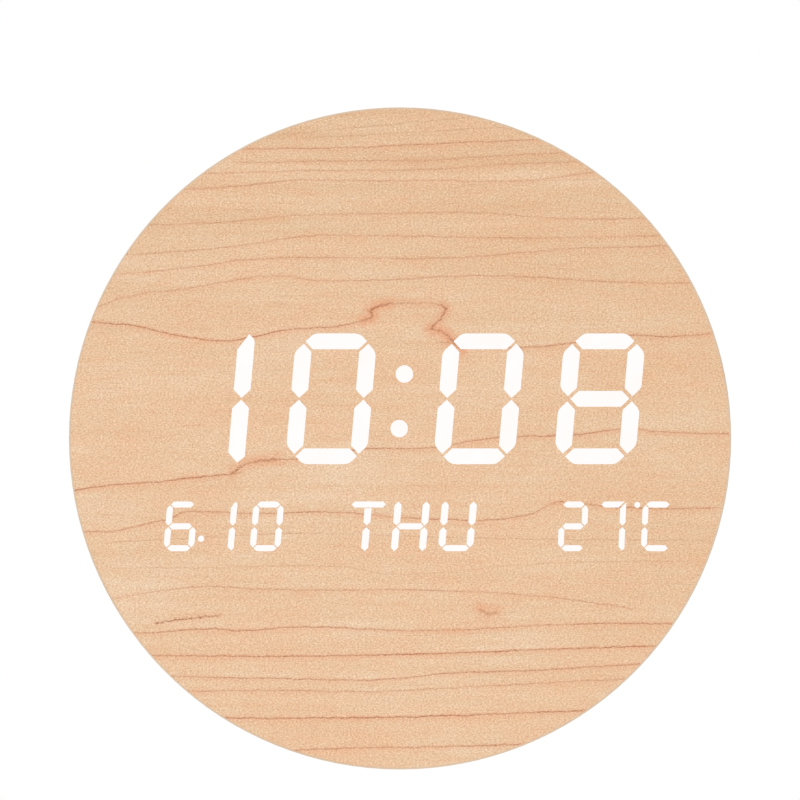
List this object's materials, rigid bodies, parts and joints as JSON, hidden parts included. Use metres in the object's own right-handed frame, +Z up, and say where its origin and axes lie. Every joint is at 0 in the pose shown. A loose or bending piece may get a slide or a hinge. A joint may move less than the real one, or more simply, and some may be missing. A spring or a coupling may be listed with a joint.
{
  "type": "alarm clock",
  "caption": "Round maple-veneered LED alarm clock: flush lit time, date, weekday and temperature; keyhole hanger, fold-out desk foot, battery door and set buttons on the back.",
  "frame": {"origin": "centre of the back, on the plane of the wall", "axes": "+Z up, +X to the right as one reads the clock, +Y out of the back into the wall, so the face looks along -Y"},
  "size_m": [0.235, 0.032, 0.235],
  "materials": {
    "maple_veneer": "clear lacquer, satin",
    "maple_edging": "clear lacquer, satin",
    "fibreboard": "machined, unfinished",
    "lit_display": "lit evenly, white",
    "diffuser_film": "matt white film",
    "white_polycarbonate": "moulded",
    "circuit_board": "green solder mask",
    "led_package": "moulded",
    "chip_epoxy": "moulded epoxy",
    "plated_steel": "nickel plate",
    "zinc_steel": "zinc plate",
    "black_steel": "black oxide",
    "buzzer_shell": "moulded",
    "ribbon_insulation": "extruded",
    "white_nylon": "moulded",
    "red_insulation": "extruded",
    "black_insulation": "extruded",
    "back_plastic": "spark-eroded texture",
    "button_plastic": "moulded, fine texture",
    "plunger_plastic": "moulded",
    "black_rubber": "moulded",
    "battery_sleeve": "printed sleeve"
  },
  "bodies": {
    "case": {"backup_cell": "plated_steel", "backup_cell_clip": "plated_steel", "batteries": "battery_sleeve", "battery_contacts": "plated_steel", "battery_springs": "plated_steel", "battery_wire_black": "black_insulation", "battery_wire_red": "red_insulation", "board_screws": "zinc_steel", "buzzer": "buzzer_shell", "calendar_diffuser": "diffuser_film", "calendar_reflector": "white_polycarbonate", "celsius_letter": "lit_display", "colon": "lit_display", "control_board": "circuit_board", "cover_screws": "black_steel", "date_point": "lit_display", "day_tens": "lit_display", "day_units": "lit_display", "degree_mark": "lit_display", "display_screws": "zinc_steel", "driver_chips": "chip_epoxy", "edge_band": "maple_edging", "face_veneer": "maple_veneer", "foot_pin": "zinc_steel", "hanger_plate": "zinc_steel", "hanger_screws": "zinc_steel", "hour_tens": "lit_display", "hour_units": "lit_display", "led_board": "circuit_board", "leds": "led_package", "microcontroller": "chip_epoxy", "minute_tens": "lit_display", "minute_units": "lit_display", "month_digit": "lit_display", "quartz_crystal": "plated_steel", "rear_cover": "back_plastic", "ribbon_cable": "ribbon_insulation", "ribbon_sockets": "white_nylon", "switch_bodies": "chip_epoxy", "temperature_tens": "lit_display", "temperature_units": "lit_display", "thermistor": "chip_epoxy", "time_diffuser": "diffuser_film", "time_reflector": "white_polycarbonate", "usb_socket": "plated_steel", "weekday_letter_1": "lit_display", "weekday_letter_2": "lit_display", "weekday_letter_3": "lit_display", "wood_core": "fibreboard"},
    "battery_door": {"battery_door": "back_plastic"},
    "desk_foot": {"desk_foot": "back_plastic", "foot_pad": "black_rubber"},
    "button_set": {"button_set": "button_plastic", "plunger_set": "plunger_plastic"},
    "button_up": {"button_up": "button_plastic", "plunger_up": "plunger_plastic"},
    "button_down": {"button_down": "button_plastic", "plunger_down": "plunger_plastic"}
  },
  "joints": [
    {"name": "battery_door_hinge", "type": "hinge", "parent": "case", "child": "battery_door", "pos_m": [-0.042, -0.001, 0.0365], "axis": [1, 0, 0], "range_deg": [0, 95]},
    {"name": "desk_foot_hinge", "type": "hinge", "parent": "case", "child": "desk_foot", "pos_m": [0, -0.004, -0.086], "axis": [-1, 0, 0], "range_deg": [0, 110]},
    {"name": "button_set_press", "type": "slide", "parent": "case", "child": "button_set", "axis": [0, -1, 0], "range_m": [0, 0.0005], "stiffness_N_per_m": 300, "springref_m": -0.001},
    {"name": "button_up_press", "type": "slide", "parent": "case", "child": "button_up", "axis": [0, -1, 0], "range_m": [0, 0.0005], "stiffness_N_per_m": 300, "springref_m": -0.001},
    {"name": "button_down_press", "type": "slide", "parent": "case", "child": "button_down", "axis": [0, -1, 0], "range_m": [0, 0.0005], "stiffness_N_per_m": 300, "springref_m": -0.001}
  ]
}
